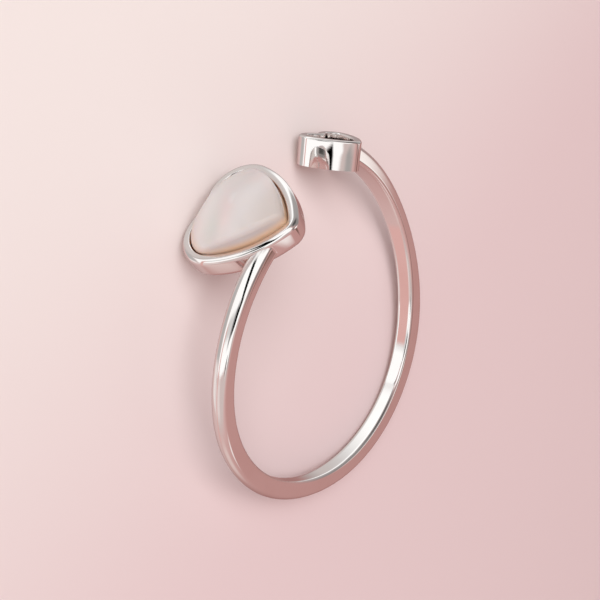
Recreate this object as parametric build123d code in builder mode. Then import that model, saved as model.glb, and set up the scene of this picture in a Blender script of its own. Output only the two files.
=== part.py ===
from build123d import *

import os
from collections import namedtuple
from math import atan2, cos, degrees, hypot, radians, sin, sqrt

# Band, in millimetres and degrees, as everything below
finger_radius = 8.4
band_width = 0.9
band_thickness = 1.05
band_side_share = 0.8
band_shoulder_round = 0.24
band_inner_round = 0.18
opening_drift = 2.9

# The band from the cup, round the bottom at 0 degrees, to the small heart.
# radius is a share of finger_radius, drift of opening_drift, width of band_width, thickness of band_thickness.
Station = namedtuple("Station", "angle radius drift width thickness")
stations = [
    Station(-103, 0.969, 0.285, 1.11, 0.78),
    Station(-85, 0.975, 0.21, 1.05, 0.74),
    Station(-60, 1.000, 0.14, 1.00, 0.76),
    Station(-35, 1.009, 0.07, 0.96, 0.90),
    Station(-10, 0.991, 0.02, 0.94, 0.98),
    Station(15, 0.979, -0.03, 0.94, 1.00),
    Station(40, 0.999, -0.08, 1.07, 1.01),
    Station(65, 1.031, -0.13, 1.09, 1.12),
    Station(90, 1.040, -0.19, 1.08, 1.24),
    Station(115, 1.015, -0.27, 1.16, 1.23),
    Station(140, 0.999, -0.37, 1.26, 0.94),
    Station(165, 1.016, -0.49, 1.39, 0.80),
    Station(180, 1.036, -0.58, 1.47, 0.88),
    Station(194, 1.050, -0.68, 1.55, 1.00),
]

# A heart's outline is two lobes, two flanks and a round tip, with one circle for each, in shares of its width
Heart = namedtuple("Heart", "lobe_radius lobe_offset lobe_back tip_radius tip_ahead flank_radius notch_round")

# Where a heart's rim lies: its angle, turn and lean in degrees, and in shares of finger_radius
# its distance from the bore's axis, its slide round the bore and its drift along it.
Seat = namedtuple("Seat", "angle radius slide drift turn lean")

# Cup of the large heart
cup_width = 5.94
cup_shape = Heart(0.313, 0.187, 0.199, 0.145, 0.323, 0.909, 0.059)
cup_seat = Seat(-102.0, 1.074, -0.044, -0.104, 0.8, 0.0)
cup_height = 1.25
cup_floor = 0.4
cup_wall = 0.48
cup_rim_round = 0.26
cup_foot_round = 0.42
cup_lip_round = 0.07

# Shell cabochon
stone_clearance = 0.04
stone_rise = 1.22
stone_dome_radius = 4.2
stone_edge_round = 0.32

# Small open heart
loop_width = 3.32
loop_shape = Heart(0.271, 0.229, 0.271, 0.127, 0.307, 0.964, 0.060)
loop_seat = Seat(-146.7, 1.137, -0.269, -0.227, -3.0, 3.5)
loop_height = 1.54
loop_wall = 0.45
loop_rim_round = 0.12
loop_lip_round = 0.08

bore = Vector(0, 0, 1)


def outward(angle):
    """Direction away from the bore at an angle counted from the bottom towards the right."""
    return Vector(sin(radians(angle)), -cos(radians(angle)), 0)


def around(angle):
    """Direction round the bore at an angle."""
    return Vector(cos(radians(angle)), sin(radians(angle)), 0)


def band_plane(station):
    """Plane across the band, with its origin on the inner face, x along the bore and y outward."""
    centre = outward(station.angle) * (station.radius * finger_radius) + bore * (station.drift * opening_drift)
    return Plane(origin=centre, x_dir=bore, z_dir=around(station.angle))


def rim_plane(seat):
    """Plane of a heart's rim: x round the ring, y along the bore towards the tip, z outward."""
    place = outward(seat.angle) * seat.radius + around(seat.angle) * seat.slide + bore * seat.drift
    up = outward(seat.angle) * cos(radians(seat.lean)) + bore * sin(radians(seat.lean))
    ahead = bore * cos(radians(seat.lean)) - outward(seat.angle) * sin(radians(seat.lean))
    across = around(seat.angle) * cos(radians(seat.turn)) + ahead * sin(radians(seat.turn))
    return Plane(origin=place * finger_radius, x_dir=across, z_dir=up)


def heart_of(width, shape):
    """A heart's sizes in millimetres."""
    return Heart(*[width * share for share in shape])


def flank_centre(heart):
    """Centre of the right flank's circle, which the lobe's and the tip's circles touch from inside."""
    to_lobe = heart.flank_radius - heart.lobe_radius
    to_tip = heart.flank_radius - heart.tip_radius
    run = hypot(heart.lobe_offset, heart.tip_ahead + heart.lobe_back)
    ux = -heart.lobe_offset / run
    uy = (heart.tip_ahead + heart.lobe_back) / run
    share = (to_lobe**2 - to_tip**2 + run**2) / (2 * run)
    side = sqrt(to_lobe**2 - share**2)
    return (heart.lobe_offset + ux * share - uy * side, -heart.lobe_back + uy * share + ux * side)


def heart_face(heart, inset):
    """The heart's flat face, tip towards y, drawn in all round by the inset."""
    lobe = (heart.lobe_offset, -heart.lobe_back)
    tip = (0, heart.tip_ahead)
    middle = flank_centre(heart)
    notch_turn = degrees(atan2(-sqrt(heart.lobe_radius**2 - heart.lobe_offset**2), -heart.lobe_offset))
    lobe_turn = degrees(atan2(lobe[1] - middle[1], lobe[0] - middle[0]))
    tip_turn = degrees(atan2(tip[1] - middle[1], tip[0] - middle[0]))
    with BuildSketch() as outline:
        with BuildLine():
            CenterArc(lobe, heart.lobe_radius, notch_turn, lobe_turn - notch_turn)
            CenterArc(middle, heart.flank_radius, lobe_turn, tip_turn - lobe_turn)
            CenterArc(tip, heart.tip_radius, tip_turn, 90 - tip_turn)
            mirror(about=Plane.YZ)
        make_face()
        fillet(outline.vertices().group_by(Axis.X)[len(outline.vertices()) // 2], radius=heart.notch_round)
        offset(amount=-inset, kind=Kind.ARC, mode=Mode.REPLACE)
    return outline.sketch


cup_heart = heart_of(cup_width, cup_shape)
cup_plane = rim_plane(cup_seat)
cup_axis = Axis(cup_plane.origin, cup_plane.z_dir)
loop_heart = heart_of(loop_width, loop_shape)
loop_plane = rim_plane(loop_seat)
loop_axis = Axis(loop_plane.origin, loop_plane.z_dir)

# Band, lofted through a flat-backed section with a crowned outer face at each station
with BuildPart() as band:
    for station in stations:
        half = station.width * band_width / 2
        crown = station.thickness * band_thickness
        side = band_side_share * crown
        with BuildSketch(band_plane(station)) as section:
            with BuildLine():
                Polyline((-half, side), (-half, 0), (half, 0), (half, side))
                ThreePointArc((half, side), (0, crown), (-half, side))
            make_face()
            fillet(section.vertices().group_by(Axis.Y)[0], radius=band_inner_round)
            fillet(section.vertices().group_by(Axis.Y)[-1], radius=band_shoulder_round)
    loft()


# Cup under the cabochon, with a rounded rim and foot
with BuildPart() as cup:
    with BuildSketch(cup_plane.offset(-cup_height)):
        add(heart_face(cup_heart, 0))
    extrude(amount=cup_height)
    fillet(cup.faces().filter_by(cup_axis).sort_by(cup_axis)[-1].edges(), radius=cup_rim_round)
    fillet(cup.faces().filter_by(cup_axis).sort_by(cup_axis)[0].edges(), radius=cup_foot_round)

# Wall of the small open heart, with a rounded rim
with BuildPart() as loop:
    with BuildSketch(loop_plane.offset(-loop_height)):
        add(heart_face(loop_heart, 0))
    extrude(amount=loop_height)
    fillet(loop.faces().filter_by(loop_axis).sort_by(loop_axis)[-1].edges(), radius=loop_rim_round)

# Band, cup and open heart soldered into one, then hollowed for the stone and through the small heart
with BuildPart() as soldered:
    add(band.part)
    add(cup.part)
    add(loop.part)
    with BuildSketch(cup_plane.offset(cup_floor - cup_height)):
        add(heart_face(cup_heart, cup_wall))
    extrude(amount=cup_height + stone_rise, mode=Mode.SUBTRACT)
    cup_rim = soldered.faces().filter_by(cup_axis).sort_by(cup_axis)[-1]
    fillet(cup_rim.inner_wires()[0].edges(), radius=cup_lip_round)
    with BuildSketch(loop_plane.offset(-2 * loop_height)):
        add(heart_face(loop_heart, loop_wall))
    extrude(amount=3 * loop_height, mode=Mode.SUBTRACT)
    loop_rim = soldered.faces().filter_by(loop_axis).sort_by(loop_axis)[-1]
    fillet(loop_rim.inner_wires()[0].edges(), radius=loop_lip_round)

# Cabochon standing on the cup's floor, domed above the rim
with BuildPart() as domed:
    with BuildSketch(cup_plane.offset(cup_floor - cup_height + stone_clearance)):
        add(heart_face(cup_heart, cup_wall + stone_clearance))
    extrude(amount=cup_height - cup_floor - stone_clearance + stone_rise)
    dome_centre = cup_plane.offset(stone_rise - stone_dome_radius)
    with Locations(dome_centre.location):
        Sphere(stone_dome_radius, mode=Mode.INTERSECT)
    fillet(domed.faces().filter_by(GeomType.SPHERE)[0].edges(), radius=stone_edge_round)

# The ring lies with its hearts' lobes down, on one lobe of each heart and on the band's edge across from them
rest_station = stations[7]
band_foot = band_plane(rest_station).from_local_coords(
    Vector(-rest_station.width * band_width / 2, band_side_share * rest_station.thickness * band_thickness, 0)
)
cup_foot = cup_plane.from_local_coords(
    Vector(cup_heart.lobe_offset, -cup_heart.lobe_back - cup_heart.lobe_radius, cup_foot_round - cup_height)
)
loop_foot = loop_plane.from_local_coords(
    Vector(-loop_heart.lobe_offset, -loop_heart.lobe_back - loop_heart.lobe_radius, -loop_height)
)
floor_normal = (band_foot - cup_foot).cross(loop_foot - cup_foot).normalized()
to_floor = Plane(origin=cup_foot, x_dir=Vector(1, 0, 0), z_dir=floor_normal).location.inverse()
whole = soldered.part.moved(to_floor).bounding_box().add(domed.part.moved(to_floor).bounding_box())
to_rest = Location((-whole.center().X, -whole.center().Y, -whole.min.Z)) * to_floor

with BuildPart() as silver_ring:
    add(soldered.part.moved(to_rest))

with BuildPart() as shell_cabochon:
    add(domed.part.moved(to_rest))

os.makedirs("parts", exist_ok=True)
silver_ring.part.label = "silver_ring"
export_step(silver_ring.part, "parts/silver_ring.step")
shell_cabochon.part.label = "shell_cabochon"
export_step(shell_cabochon.part, "parts/shell_cabochon.step")
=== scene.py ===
from collections import namedtuple
from math import atan2, ceil, cos, hypot, pi, radians, sin, sqrt

import bpy
import numpy as np
from mathutils import Matrix, Vector


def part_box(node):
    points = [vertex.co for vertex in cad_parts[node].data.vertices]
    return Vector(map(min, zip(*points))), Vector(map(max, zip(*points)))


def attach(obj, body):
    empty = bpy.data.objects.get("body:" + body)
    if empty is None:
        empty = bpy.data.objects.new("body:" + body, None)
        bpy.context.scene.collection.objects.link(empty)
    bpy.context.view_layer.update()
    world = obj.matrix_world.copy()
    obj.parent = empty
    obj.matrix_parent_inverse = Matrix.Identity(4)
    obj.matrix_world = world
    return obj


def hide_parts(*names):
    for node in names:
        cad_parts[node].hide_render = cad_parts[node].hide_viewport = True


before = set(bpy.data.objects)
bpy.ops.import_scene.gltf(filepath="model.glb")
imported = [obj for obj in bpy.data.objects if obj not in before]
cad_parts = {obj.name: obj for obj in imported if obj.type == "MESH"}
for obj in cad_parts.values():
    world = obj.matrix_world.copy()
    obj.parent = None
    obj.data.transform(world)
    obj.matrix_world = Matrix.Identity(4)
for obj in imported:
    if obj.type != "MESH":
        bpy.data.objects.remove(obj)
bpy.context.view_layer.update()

millimetre = 0.001

# Camera, in metres
camera_place = Vector((-0.035088, -0.011220, 0.033245))
camera_look = Vector((0.702467, 0.240410, -0.669883))
camera_up = Vector((-0.371722, 0.926576, -0.057271))
camera_lens = 54.86
sensor_width = 36.0
camera_near = 0.002
camera_far = 5.0

# Band, in millimetres and degrees, with the same names and values as in the part
finger_radius = 8.4
band_width = 0.9
band_thickness = 1.05
band_side_share = 0.8
band_shoulder_round = 0.24
band_inner_round = 0.18
opening_drift = 2.9
Station = namedtuple("Station", "angle radius drift width thickness")
stations = [
    Station(-103, 0.969, 0.285, 1.11, 0.78),
    Station(-85, 0.975, 0.21, 1.05, 0.74),
    Station(-60, 1.000, 0.14, 1.00, 0.76),
    Station(-35, 1.009, 0.07, 0.96, 0.90),
    Station(-10, 0.991, 0.02, 0.94, 0.98),
    Station(15, 0.979, -0.03, 0.94, 1.00),
    Station(40, 0.999, -0.08, 1.07, 1.01),
    Station(65, 1.031, -0.13, 1.09, 1.12),
    Station(90, 1.040, -0.19, 1.08, 1.24),
    Station(115, 1.015, -0.27, 1.16, 1.23),
    Station(140, 0.999, -0.37, 1.26, 0.94),
    Station(165, 1.016, -0.49, 1.39, 0.80),
    Station(180, 1.036, -0.58, 1.47, 0.88),
    Station(194, 1.050, -0.68, 1.55, 1.00),
]
rest_station = stations[7]

# Hearts
Heart = namedtuple(
    "Heart", "lobe_radius lobe_offset lobe_back tip_radius tip_ahead flank_radius notch_round"
)
Seat = namedtuple("Seat", "angle radius slide drift turn lean")
cup_width = 5.94
cup_shape = Heart(0.313, 0.187, 0.199, 0.145, 0.323, 0.909, 0.059)
cup_seat = Seat(-102.0, 1.074, -0.044, -0.104, 0.8, 0.0)
cup_height = 1.25
cup_floor = 0.4
cup_wall = 0.48
cup_rim_round = 0.26
cup_foot_round = 0.42
cup_lip_round = 0.07
loop_width = 3.32
loop_shape = Heart(0.271, 0.229, 0.271, 0.127, 0.307, 0.964, 0.060)
loop_seat = Seat(-146.7, 1.137, -0.269, -0.227, -3.0, 3.5)
loop_height = 1.54
loop_wall = 0.45
loop_rim_round = 0.12
loop_lip_round = 0.08

# How finely the silver is drawn, in millimetres and degrees, and in steps round each part of the profiles
band_step = 0.13
outline_step = 0.07
outline_turn = 7
band_inside_steps = 4
band_inner_round_steps = 7
band_side_steps = 5
band_shoulder_steps = 9
band_crown_steps = 8
cup_round_steps = 12
cup_lip_steps = 8
loop_rim_steps = 8
loop_lip_steps = 7
sharp_angle = 38

# How deep the band's ends are buried in the hearts, in millimetres
buried = 0.12

# Surroundings, as linear colours. Swing is counted round Z from -X, the camera's side, towards -Y, and
# height from the horizon, both in degrees.
near_pink = (0.66, 0.43, 0.41, 1.0)
far_pink = (0.52, 0.285, 0.265, 1.0)
low_pink = (0.70, 0.50, 0.48, 1.0)
near_to_far = (70, 160)
level_to_low = (-36, -52)
backdrop = (0.86, 0.76, 0.74, 1.0)

# A card covers a range of swing and of height with soft edges, and climbs with the swing. Each lies over
# the ones before it, and the last three are the dark gap between the bright cards.
Card = namedtuple("Card", "swing_low swing_high height_low height_high climb swing_edge height_edge colour")
cards = [
    Card(-200, 200, 79, 100, 0, 1, 3, (0.23, 0.21, 0.20)),
    Card(150, 200, 61, 79, 0, 8, 4, (0.25, 0.20, 0.19)),
    Card(45, 84, -44, 78, 0, 12, 8, (0.63, 0.52, 0.50)),
    Card(48, 74, -42, -9, 0, 6, 5, (0.78, 0.66, 0.64)),
    Card(94, 124, -36, -10, 0, 12, 8, (0.74, 0.57, 0.54)),
    Card(-132, -14, -40, 30, 0, 12, 12, (0.38, 0.36, 0.355)),
    Card(-150, -26, 22, 72, 0, 16, 12, (0.27, 0.25, 0.245)),
    Card(-82, -32, 28, 58, 0, 12, 10, (0.08, 0.075, 0.073)),
    Card(-130, -28, -72, -26, 0, 14, 5, (0.66, 0.60, 0.58)),
    Card(-128, -16, -24, -4, 0, 14, 6, (1.12, 1.11, 1.10)),
    Card(-24, 38, -66, -38, 0, 7, 6, (0.48, 0.46, 0.45)),
    Card(36, 72, -68, -44, 0, 5, 5, (0.86, 0.78, 0.76)),
    Card(-18, 44, -38, 8, 0, 3, 4, (1.07, 1.06, 1.05)),
    Card(40, 47, -19, 12, 0, 3, 3, (1.07, 1.06, 1.05)),
    Card(-18, 46, 0, 71, 0, 4, 4, (1.07, 1.06, 1.05)),
    Card(42, 61, 29, 50, 0, 3, 3, (1.07, 1.06, 1.05)),
    Card(-176, -152, 38, 70, 0, 4, 5, (1.05, 0.98, 0.95)),
    Card(122, 142, 24, 35, 0, 6, 4, (0.90, 0.80, 0.78)),
    Card(12, 26, -24, 4, 0, 4, 6, (0.68, 0.66, 0.65)),
    Card(16, 96, -23, -16.5, -0.187, 3, 1.5, (0.72, 0.42, 0.39)),
    Card(9, 33, 4, 12, 0, 4, 4, (0.22, 0.21, 0.21)),
    Card(68, 90, 52, 63, 0, 5, 5, (0.40, 0.37, 0.36)),
    Card(-186, -168, 33, 50, 0, 3, 3, (0.20, 0.11, 0.09)),
    Card(45, 56, 20, 32, 0, 2, 2, (0.0, 0.0, 0.0)),
    Card(-16, 14, 1.5, 13.5, 1.15, 3, 1.8, (0.0, 0.0, 0.0)),
    Card(11, 29, 11, 36, 0, 3, 2, (0.0, 0.0, 0.0)),
]

# A soft lamp in front and above, which the polished surfaces don't show
lamp_place = Vector((-0.18, 0.03, 0.24))
lamp_size = 0.25
lamp_power = 0.59

# Floor, in metres. It turns from pink to white over the range, counted along -X and, by the slant, along Y:
# a painted pool of light towards the lamp.
floor_half = 2.0
floor_slant = 0.55
light_pool_range = (-0.012, 0.024)
# Painted pool of light: the floor's white towards the lamp.
floor_light_pool_white = (0.93, 0.88, 0.855, 1.0)
floor_pink = (0.84, 0.68, 0.69, 1.0)
floor_roughness = 0.9

# Silver. Noise is in repeats a metre and its detail in octaves, and lengths are in metres. A range gives the
# values where a change starts and ends: of the noise, or, for the painted shade in hollows, of the share
# that isn't hidden.
smear_noise = (420, 3)
smear_range = (0.35, 0.75)
smear_roughness = (0.03, 0.07)
hairline_noise = (900, 2)
hairline_range = (0.55, 0.8)
hairline_turn = (0.4, 0.2, 0.7)
hairline_stretch = (1, 14, 3)
hairline_roughness = (0, 0.04)
hairline_bump = 0.02
hairline_depth = 0.00002
# Painted shade: hollows found by ambient occlusion darken towards the tarnish colour, which also gives faint
# random stains.
shade_reach = 0.0011
shade_samples = 8
shade_range = (0.15, 0.75)
stain_range = (0.2, 0.6)
stain_share = (0.9, 1.0)
tarnish_and_shade_colour = (0.56, 0.37, 0.30, 1.0)
silver_colour = (0.95, 0.935, 0.925, 1.0)
silver_edge_tint = (0.68, 0.63, 0.63, 1.0)

# Shell. The ranges for clouds and drift are values of noise. The others are heights in metres where a colour
# starts and where it is full: up from the middle of the cup's rim for the painted highlight (white), the
# painted shade (dull) and the painted highlight on the low edge (pale), and out from the rim's plane for tan
# and for the painted light (amber) in the shaded gap below the rim.
cloud_noise = (380, 2.5)
cloud_range = (0.42, 0.62)
drift_noise = (210, 1.5)
drift_range = (0.50, 0.64)
pearl_grey = (0.655, 0.625, 0.62, 1.0)
pearl_pink = (0.70, 0.615, 0.61, 1.0)
pearl_green = (0.615, 0.64, 0.61, 1.0)
# Painted highlight (white) and painted shade (dull) on the shell, set by height.
pearl_highlight_white = (0.80, 0.77, 0.76, 1.0)
pearl_shade_dull = (0.58, 0.53, 0.50, 1.0)
edge_tan = (0.78, 0.53, 0.35, 1.0)
# Painted highlight on the low edge (pale) and painted light in the shaded gap under the rim (amber).
edge_highlight_pale = (0.82, 0.66, 0.56, 1.0)
gap_light_amber = (0.92, 0.64, 0.46, 1.0)
highlight_white_range = (-0.0001, -0.0016)
shade_dull_range = (0.0006, 0.0024)
edge_highlight_range = (0.0004, -0.0012)
tan_range = (0.00048, 0.00002)
gap_light_range = (0.00005, -0.0003)
shell_roughness = 0.22
shell_depth_share = 0.35
shell_depth_radius = (1.0, 0.7, 0.5)
shell_depth = 0.0005
shell_coat = 0.45
shell_coat_roughness = 0.16


def add_camera():
    """Puts the camera where the photograph was taken from."""
    data = bpy.data.cameras.new("camera")
    data.lens = camera_lens
    data.sensor_width = sensor_width
    data.clip_start = camera_near
    data.clip_end = camera_far
    camera = bpy.data.objects.new("camera", data)
    back = -camera_look.normalized()
    right = camera_up.cross(back).normalized()
    up = back.cross(right)
    turn = Matrix((right, up, back)).transposed().to_4x4()
    camera.matrix_world = Matrix.Translation(camera_place) @ turn
    bpy.context.scene.collection.objects.link(camera)
    bpy.context.scene.camera = camera


def add_lamp():
    """A soft lamp that lights the shell and the floor."""
    data = bpy.data.lights.new("lamp", "AREA")
    data.size = lamp_size
    data.energy = lamp_power
    lamp = bpy.data.objects.new("lamp", data)
    lamp.location = lamp_place
    lamp.rotation_euler = lamp_place.to_track_quat("Z", "Y").to_euler()
    lamp.visible_glossy = False
    bpy.context.scene.collection.objects.link(lamp)


def outward(angle):
    """Direction away from the bore at an angle counted from the bottom towards the right."""
    return Vector((sin(radians(angle)), -cos(radians(angle)), 0))


def around(angle):
    """Direction round the bore at an angle."""
    return Vector((cos(radians(angle)), sin(radians(angle)), 0))


bore = Vector((0, 0, 1))


class Place:
    """An origin and its directions: a plane across the band, or a heart's rim with its way outward."""

    def __init__(self, origin, across, ahead, up=None):
        self.origin = origin
        self.across = across
        self.ahead = ahead
        self.up = up

    def point(self, x, y, z=0.0):
        """The point at x across, y ahead and z up."""
        place = self.origin + self.across * x + self.ahead * y
        if z:
            place = place + self.up * z
        return place


def rim_place(seat):
    """Plane of a heart's rim: x round the ring, y along the bore towards the tip, z outward."""
    origin = outward(seat.angle) * seat.radius + around(seat.angle) * seat.slide + bore * seat.drift
    up = outward(seat.angle) * cos(radians(seat.lean)) + bore * sin(radians(seat.lean))
    ahead = bore * cos(radians(seat.lean)) - outward(seat.angle) * sin(radians(seat.lean))
    across = around(seat.angle) * cos(radians(seat.turn)) + ahead * sin(radians(seat.turn))
    return Place(origin * finger_radius, across, up.cross(across), up)


def heart_of(width, shape):
    """A heart's sizes in millimetres."""
    return Heart(*[width * share for share in shape])


def arc(centre, radius, start, end, side):
    """Points of an arc, each with its centre, radius, direction and side: 1 where the heart bulges."""
    sweep = abs(end - start)
    steps = max(3, ceil(sweep * radius / outline_step), ceil(sweep / radians(outline_turn)))
    turns = [start + (end - start) * i / steps for i in range(steps)]
    return [(centre, radius, cos(turn), sin(turn), side) for turn in turns]


def heart_outline(heart):
    """The heart's outline from the middle of its notch, by the right lobe, the tip and the left lobe."""
    reach = heart.lobe_radius + heart.notch_round
    notch = (0.0, -heart.lobe_back - sqrt(reach**2 - heart.lobe_offset**2))
    lobe = (heart.lobe_offset, -heart.lobe_back)
    tip = (0.0, heart.tip_ahead)
    to_lobe = heart.flank_radius - heart.lobe_radius
    to_tip = heart.flank_radius - heart.tip_radius
    run = hypot(heart.lobe_offset, heart.tip_ahead + heart.lobe_back)
    ux = -heart.lobe_offset / run
    uy = (heart.tip_ahead + heart.lobe_back) / run
    share = (to_lobe**2 - to_tip**2 + run**2) / (2 * run)
    side = sqrt(to_lobe**2 - share**2)
    middle = (lobe[0] + ux * share - uy * side, lobe[1] + uy * share + ux * side)
    notch_turn = atan2(lobe[1] - notch[1], lobe[0])
    lobe_turn = atan2(lobe[1] - middle[1], lobe[0] - middle[0])
    tip_turn = atan2(tip[1] - middle[1], tip[0] - middle[0])
    right = arc(notch, heart.notch_round, pi / 2, notch_turn, -1)
    right += arc(lobe, heart.lobe_radius, notch_turn - pi, lobe_turn, 1)
    right += arc(middle, heart.flank_radius, lobe_turn, tip_turn, 1)
    right += arc(tip, heart.tip_radius, tip_turn, pi / 2, 1)
    end = [(tip, heart.tip_radius, 0.0, 1.0, 1)]
    left = [((-c[0], c[1]), r, -dx, dy, s) for c, r, dx, dy, s in reversed(right[1:])]
    return right + end + left


def drawn_in(outline, inset):
    """The outline drawn in all round by the inset."""
    return [(c[0] + (r - s * inset) * dx, c[1] + (r - s * inset) * dy) for c, r, dx, dy, s in outline]


def corner(centre_inset, centre_height, radius, start, end, steps):
    """Profile points of a rounded corner, as inset and height, in degrees from the outward direction."""
    turns = [radians(start + (end - start) * i / steps) for i in range(steps + 1)]
    return [(centre_inset - radius * cos(t), centre_height + radius * sin(t)) for t in turns]


def swept(place, outline, profile, closed):
    """Vertices and faces of a profile carried round an outline, closed on itself or with two flat faces."""
    points = []
    for inset, height in profile:
        points += [place.point(x, y, height) for x, y in drawn_in(outline, inset)]
    count = len(outline)
    rows = len(profile)
    faces = []
    for row in range(rows if closed else rows - 1):
        low = row * count
        high = (row + 1) % rows * count
        for i in range(count):
            j = (i + 1) % count
            faces.append((low + i, low + j, high + j, high + i))
    if not closed:
        faces.append(tuple(reversed(range(count))))
        faces.append(tuple((rows - 1) * count + i for i in range(count)))
    return points, faces


def spline(knots, values):
    """Second derivatives of the smooth curve through the values."""
    count = len(knots)
    rows = np.zeros((count, count))
    right = np.zeros(count)
    rows[0, 0] = rows[-1, -1] = 1.0
    for i in range(1, count - 1):
        before = knots[i] - knots[i - 1]
        after = knots[i + 1] - knots[i]
        rows[i, i - 1] = before
        rows[i, i] = 2 * (before + after)
        rows[i, i + 1] = after
        right[i] = 6 * ((values[i + 1] - values[i]) / after - (values[i] - values[i - 1]) / before)
    return np.linalg.solve(rows, right)


def between_stations(angle, bends):
    """The station at any angle, on smooth curves through the given stations."""
    knots = [station.angle for station in stations]
    i = max(k for k in range(len(knots) - 1) if k == 0 or knots[k] <= angle)
    gap = knots[i + 1] - knots[i]
    a = (knots[i + 1] - angle) / gap
    b = 1 - a
    found = [angle]
    for name, bend in bends.items():
        low = getattr(stations[i], name)
        high = getattr(stations[i + 1], name)
        curve = ((a**3 - a) * bend[i] + (b**3 - b) * bend[i + 1]) * gap**2 / 6
        found.append(a * low + b * high + curve)
    return Station(*found)


def line(first, last, steps):
    """Points from the first towards the last, which is left out."""
    return [tuple(p + (q - p) * i / steps for p, q in zip(first, last)) for i in range(steps)]


def turned(centre, radius, start, end, steps):
    """Points round a centre from one angle towards another, which is left out, in radians."""
    turns = [start + (end - start) * i / steps for i in range(steps)]
    return [(centre[0] + radius * cos(t), centre[1] + radius * sin(t)) for t in turns]


def band_section(station):
    """Outline across the band: flat inside with rounded edges, flat sides and a crowned outer face."""
    half = station.width * band_width / 2
    crown = station.thickness * band_thickness
    side = band_side_share * crown
    rise = crown - side
    crown_radius = (half**2 + rise**2) / (2 * rise)
    crown_middle = crown - crown_radius
    inner = band_inner_round
    outer = band_shoulder_round
    shoulder_x = half - outer
    shoulder_y = crown_middle + sqrt((crown_radius - outer) ** 2 - shoulder_x**2)
    shoulder_turn = atan2(shoulder_y - crown_middle, shoulder_x)
    right = line((0, 0), (half - inner, 0), band_inside_steps)
    right += turned((half - inner, inner), inner, -pi / 2, 0, band_inner_round_steps)
    right += line((half, inner), (half, shoulder_y), band_side_steps)
    right += turned((shoulder_x, shoulder_y), outer, 0, shoulder_turn, band_shoulder_steps)
    right += turned((0, crown_middle), crown_radius, shoulder_turn, pi / 2, band_crown_steps)
    return right + [(0, crown)] + [(-x, y) for x, y in reversed(right[1:])]


def band_mesh():
    """The band, swept from the cup round the bottom to the small heart."""
    knots = [station.angle for station in stations]
    names = Station._fields[1:]
    bends = {name: spline(knots, [getattr(station, name) for station in stations]) for name in names}
    length = radians(knots[-1] - knots[0]) * finger_radius
    steps = ceil(length / band_step)
    points = []
    for i in range(steps + 1):
        station = between_stations(knots[0] + (knots[-1] - knots[0]) * i / steps, bends)
        origin = outward(station.angle) * (station.radius * finger_radius)
        place = Place(origin + bore * (station.drift * opening_drift), bore, outward(station.angle))
        points += [place.point(x, y) for x, y in band_section(station)]
    count = len(points) // (steps + 1)
    faces = []
    for i in range(steps):
        for j in range(count):
            k = (j + 1) % count
            faces.append((i * count + j, i * count + k, (i + 1) * count + k, (i + 1) * count + j))
    faces.append(tuple(reversed(range(count))))
    faces.append(tuple(steps * count + j for j in range(count)))
    return points, faces


cup_heart = heart_of(cup_width, cup_shape)
cup_place = rim_place(cup_seat)
loop_heart = heart_of(loop_width, loop_shape)
loop_place = rim_place(loop_seat)


def cup_mesh():
    """The cup under the cabochon, with a rounded foot, rim and lip and a flat floor inside."""
    profile = corner(cup_foot_round, cup_foot_round - cup_height, cup_foot_round, -90, 0, cup_round_steps)
    profile += corner(cup_rim_round, -cup_rim_round, cup_rim_round, 0, 90, cup_round_steps)
    profile += corner(cup_wall - cup_lip_round, -cup_lip_round, cup_lip_round, 90, 180, cup_lip_steps)
    profile.append((cup_wall, (cup_floor - cup_height) / 2))
    profile.append((cup_wall, cup_floor - cup_height))
    return swept(cup_place, heart_outline(cup_heart), profile, False)


def loop_mesh():
    """The wall of the small open heart."""
    profile = [(0, -loop_height), (0, -loop_height / 2)]
    profile += corner(loop_rim_round, -loop_rim_round, loop_rim_round, 0, 90, loop_rim_steps)
    profile += corner(loop_wall - loop_lip_round, -loop_lip_round, loop_lip_round, 90, 180, loop_lip_steps)
    profile += [(loop_wall, -loop_height / 2), (loop_wall, -loop_height)]
    return swept(loop_place, heart_outline(loop_heart), profile, True)


def hollow_mesh(place, heart, inset, low, high):
    """A heart-shaped block that trims the band's end inside a heart."""
    return swept(place, heart_outline(heart), [(inset, low), (inset, high)], False)


def rest_matrix():
    """Turns the upright ring on to its side, on a lobe of each heart and the band's edge opposite."""
    band_foot = outward(rest_station.angle) * (
        rest_station.radius * finger_radius + band_side_share * rest_station.thickness * band_thickness
    )
    band_foot += bore * (rest_station.drift * opening_drift - rest_station.width * band_width / 2)
    cup_foot = cup_place.point(
        cup_heart.lobe_offset, -cup_heart.lobe_back - cup_heart.lobe_radius, cup_foot_round - cup_height
    )
    loop_foot = loop_place.point(
        -loop_heart.lobe_offset, -loop_heart.lobe_back - loop_heart.lobe_radius, -loop_height
    )
    up = (band_foot - cup_foot).cross(loop_foot - cup_foot).normalized()
    across = (Vector((1, 0, 0)) - up * up.x).normalized()
    return Matrix((across, up.cross(across), up))


def new_object(name, shape):
    """A mesh object, in metres, from points in millimetres and faces."""
    points, faces = shape
    turn = rest_matrix() * millimetre
    mesh = bpy.data.meshes.new(name)
    mesh.from_pydata([turn @ point for point in points], [], faces)
    mesh.validate()
    made = bpy.data.objects.new(name, mesh)
    bpy.context.scene.collection.objects.link(made)
    return made


def combine(target, other, operation):
    """Joins another solid to the target, or cuts it out, and removes it."""
    modifier = target.modifiers.new(operation, "BOOLEAN")
    modifier.operation = operation
    modifier.solver = "EXACT"
    modifier.object = other
    bpy.context.view_layer.update()
    result = bpy.data.meshes.new_from_object(target.evaluated_get(bpy.context.evaluated_depsgraph_get()))
    target.modifiers.clear()
    target.data = result
    bpy.data.objects.remove(other)


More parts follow.
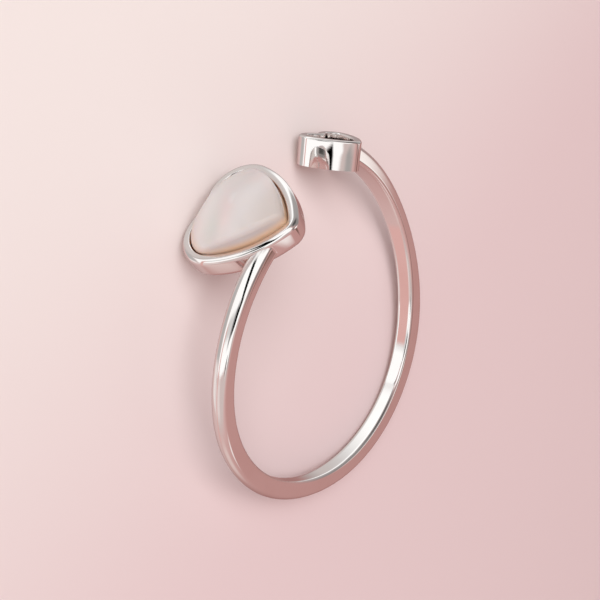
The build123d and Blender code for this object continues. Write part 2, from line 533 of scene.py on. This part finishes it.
def add_silver():
    """The soldered silver: band, cup and small heart as one neat surface, inside the CAD node's box."""
    silver = new_object("silver", band_mesh())
    pocket_floor = cup_floor - cup_height - buried
    pocket = hollow_mesh(cup_place, cup_heart, cup_wall - buried, pocket_floor, cup_height)
    combine(silver, new_object("pocket", pocket), "DIFFERENCE")
    hole = hollow_mesh(loop_place, loop_heart, loop_wall - buried, -2 * loop_height, loop_height)
    combine(silver, new_object("hole", hole), "DIFFERENCE")
    combine(silver, new_object("cup", cup_mesh()), "UNION")
    combine(silver, new_object("loop", loop_mesh()), "UNION")
    low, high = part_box("silver_ring")
    corners = np.array([v.co for v in silver.data.vertices])
    fit = min([1.0] + [(high - low)[i] / np.ptp(corners[:, i]) for i in range(3)])
    silver.data.transform(Matrix.Scale(fit, 4))
    shift = (low + high) / 2 - Vector((corners.min(0) + corners.max(0)) / 2) * fit
    silver.data.transform(Matrix.Translation(shift))
    silver.data.shade_smooth()
    silver.data.set_sharp_from_angle(angle=radians(sharp_angle))
    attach(silver, "root")
    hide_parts("silver_ring")
    return silver, shift


class Graph:
    """Adds nodes to a node tree and joins them as they are made."""

    # A mix node's sockets for colours, by number, because those for numbers and vectors have the same names
    first_colour = 6
    second_colour = 7
    mixed_colour = 2

    def __init__(self, tree):
        self.nodes = tree.nodes
        self.links = tree.links

    def node(self, kind, inputs=(), **settings):
        """Makes a node, with each input given as a value or as another node's output."""
        made = self.nodes.new(kind)
        for name, setting in settings.items():
            setattr(made, name, setting)
        for key, given in dict(inputs).items():
            if isinstance(given, bpy.types.NodeSocket):
                self.links.new(given, made.inputs[key])
            else:
                made.inputs[key].default_value = given
        return made

    def math(self, operation, first, second=0.0):
        """The output of a maths node."""
        return self.node("ShaderNodeMath", {0: first, 1: second}, operation=operation).outputs[0]

    def ramp(self, value, start, end, low=0.0, high=1.0):
        """Smooth change from low to high as the value goes from start to end."""
        limits = {"Value": value, "From Min": start, "From Max": end, "To Min": low, "To Max": high}
        made = self.node("ShaderNodeMapRange", limits, interpolation_type="SMOOTHSTEP")
        return made.outputs["Result"]

    def between(self, value, low, high, edge):
        """1 between low and high, falling to 0 over an edge on each side."""
        rise = self.ramp(value, low - edge, low + edge)
        fall = self.math("SUBTRACT", 1.0, self.ramp(value, high - edge, high + edge))
        return self.math("MULTIPLY", rise, fall)

    def mix(self, share, first, second):
        """The mix of two colours."""
        made = self.node("ShaderNodeMix", {"Factor": share}, data_type="RGBA")
        for socket, given in (
            (made.inputs[self.first_colour], first),
            (made.inputs[self.second_colour], second),
        ):
            if isinstance(given, bpy.types.NodeSocket):
                self.links.new(given, socket)
            else:
                socket.default_value = given
        return made.outputs[self.mixed_colour]

    def noise(self, vector, scale, detail):
        """Cloudy noise, with its scale in repeats a metre."""
        inputs = {"Vector": vector, "Scale": scale, "Detail": detail}
        return self.node("ShaderNodeTexNoise", inputs).outputs["Fac"]

    def place(self):
        """The place on the object, in metres."""
        return self.node("ShaderNodeTexCoord").outputs["Object"]

    def axes(self, vector):
        """The X, Y and Z of a vector."""
        return self.node("ShaderNodeSeparateXYZ", {"Vector": vector}).outputs


def studio_world():
    """Pale pink surroundings with the soft cards over them in turn. The camera sees a plain backdrop."""
    world = bpy.data.worlds.new("studio")
    bpy.context.scene.world = world
    world.use_nodes = True
    graph = Graph(world.node_tree)
    background = world.node_tree.nodes["Background"]
    parts = graph.axes(graph.node("ShaderNodeTexCoord").outputs["Generated"])
    towards = graph.math("MULTIPLY", parts["X"], -1.0)
    aside = graph.math("MULTIPLY", parts["Y"], -1.0)
    swing = graph.math("DEGREES", graph.math("ARCTAN2", aside, towards))
    height = graph.math("DEGREES", graph.math("ARCSINE", parts["Z"]))
    far = graph.ramp(graph.math("ABSOLUTE", swing), *near_to_far)
    sky = graph.mix(far, near_pink, far_pink)
    colour = graph.mix(graph.ramp(height, *level_to_low), sky, low_pink)
    for card in cards:
        level = height
        if card.climb:
            level = graph.math("SUBTRACT", height, graph.math("MULTIPLY", swing, card.climb))
        wide = graph.between(swing, card.swing_low, card.swing_high, card.swing_edge)
        tall = graph.between(level, card.height_low, card.height_high, card.height_edge)
        colour = graph.mix(graph.math("MULTIPLY", wide, tall), colour, (*card.colour, 1.0))
    seen = graph.node("ShaderNodeLightPath").outputs["Is Camera Ray"]
    graph.links.new(graph.mix(seen, colour, backdrop), background.inputs["Color"])


def new_material(name):
    """A node material, with its graph and its shader."""
    material = bpy.data.materials.new(name)
    material.use_nodes = True
    return material, Graph(material.node_tree), material.node_tree.nodes["Principled BSDF"]


def polished_silver():
    """Mirror-polished silver with faint smears and polishing marks, painted shade in a tarnish colour in
    corners and hollows, and faint random stains of that colour.
    """
    material, graph, shader = new_material("polished_silver")
    place = graph.place()
    smears = graph.noise(place, *smear_noise)
    stretched = {"Vector": place, "Rotation": hairline_turn, "Scale": hairline_stretch}
    marks = graph.node("ShaderNodeMapping", stretched).outputs["Vector"]
    hairlines = graph.noise(marks, *hairline_noise)
    smeared = graph.ramp(smears, *smear_range, *smear_roughness)
    scratched = graph.ramp(hairlines, *hairline_range, *hairline_roughness)
    graph.links.new(graph.math("ADD", smeared, scratched), shader.inputs["Roughness"])
    # Painted shade in corners and hollows, found by ambient occlusion, in the tarnish colour; the smear
    # noise adds faint random stains.
    hidden = graph.node("ShaderNodeAmbientOcclusion", {"Distance": shade_reach}, samples=shade_samples)
    open_share = graph.ramp(hidden.outputs["AO"], *shade_range)
    lit_and_clean = graph.math("MULTIPLY", open_share, graph.ramp(smears, *stain_range, *stain_share))
    colour = graph.mix(lit_and_clean, tarnish_and_shade_colour, silver_colour)
    graph.links.new(colour, shader.inputs["Base Color"])
    scratches = {"Height": hairlines, "Strength": hairline_bump, "Distance": hairline_depth}
    graph.links.new(graph.node("ShaderNodeBump", scratches).outputs["Normal"], shader.inputs["Normal"])
    shader.inputs["Metallic"].default_value = 1.0
    shader.inputs["Specular Tint"].default_value = silver_edge_tint
    return material


def mother_of_pearl(rim_origin, rim_up):
    """Polished shell: pale grey with soft clouds of pink and green, turning tan low at its edge, with
    painted light: whiter on its lower side, duller on its upper side, a paler lower edge and amber in the
    shaded gap under the rim.
    """
    material, graph, shader = new_material("mother_of_pearl")
    place = graph.place()
    clouds = graph.noise(place, *cloud_noise)
    drift = graph.noise(place, *drift_noise)
    surface_colour = graph.mix(graph.ramp(clouds, *cloud_range), pearl_grey, pearl_pink)
    surface_colour = graph.mix(graph.ramp(drift, *drift_range), surface_colour, pearl_green)
    rise = graph.math("SUBTRACT", graph.axes(place)["Z"], rim_origin.z)
    # Painted highlight and shade: the shell is whiter where it lies lower than the middle of the cup's rim
    # and duller where it lies higher.
    surface_colour = graph.mix(graph.ramp(rise, *highlight_white_range), surface_colour, pearl_highlight_white)
    surface_colour = graph.mix(graph.ramp(rise, *shade_dull_range), surface_colour, pearl_shade_dull)
    along = graph.node("ShaderNodeVectorMath", {0: place, 1: rim_up}, operation="DOT_PRODUCT")
    height = graph.math("SUBTRACT", along.outputs["Value"], rim_origin.dot(rim_up))
    # Painted highlight: the tan edge turns paler where it lies low.
    tan = graph.mix(graph.ramp(rise, *edge_highlight_range), edge_tan, edge_highlight_pale)
    surface_colour = graph.mix(graph.ramp(height, *tan_range), surface_colour, tan)
    # Painted light: amber below the rim's plane, where the gap between shell and cup is in shade.
    surface_colour = graph.mix(graph.ramp(height, *gap_light_range), surface_colour, gap_light_amber)
    graph.links.new(surface_colour, shader.inputs["Base Color"])
    shader.inputs["Roughness"].default_value = shell_roughness
    shader.inputs["Subsurface Weight"].default_value = shell_depth_share
    shader.inputs["Subsurface Radius"].default_value = shell_depth_radius
    shader.inputs["Subsurface Scale"].default_value = shell_depth
    shader.inputs["Coat Weight"].default_value = shell_coat
    shader.inputs["Coat Roughness"].default_value = shell_coat_roughness
    return material


def give(node, material):
    """Puts a material in every slot of a node."""
    for slot in node.material_slots:
        slot.material = material


def add_floor():
    """The plain surface that the ring lies on, with a painted pool of light: whiter towards the light and
    pinker away from it.
    """
    half = floor_half
    corners = [(-half, -half, 0), (half, -half, 0), (half, half, 0), (-half, half, 0)]
    mesh = bpy.data.meshes.new("floor")
    mesh.from_pydata(corners, [], [(0, 1, 2, 3)])
    floor = bpy.data.objects.new("floor", mesh)
    bpy.context.scene.collection.objects.link(floor)
    material, graph, shader = new_material("floor")
    parts = graph.axes(graph.place())
    # Painted pool of light: the floor's colour turns whiter towards the lamp.
    towards_light = graph.math("SUBTRACT", graph.math("MULTIPLY", parts["Y"], floor_slant), parts["X"])
    colour = graph.mix(graph.ramp(towards_light, *light_pool_range), floor_pink, floor_light_pool_white)
    graph.links.new(colour, shader.inputs["Base Color"])
    shader.inputs["Roughness"].default_value = floor_roughness
    output = material.node_tree.nodes["Material Output"]
    unseen = graph.node("ShaderNodeBsdfTransparent").outputs["BSDF"]
    polished = graph.node("ShaderNodeLightPath").outputs["Is Glossy Ray"]
    choice = graph.node("ShaderNodeMixShader", {0: polished, 1: shader.outputs["BSDF"], 2: unseen})
    graph.links.new(choice.outputs["Shader"], output.inputs["Surface"])
    mesh.materials.append(material)


add_camera()
add_lamp()
silver, shift = add_silver()
silver.data.materials.append(polished_silver())
rim_origin = rest_matrix() * millimetre @ cup_place.origin + shift
give(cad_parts["shell_cabochon"], mother_of_pearl(rim_origin, rest_matrix() @ cup_place.up))
add_floor()
studio_world()
bpy.context.scene.view_settings.view_transform = "Standard"
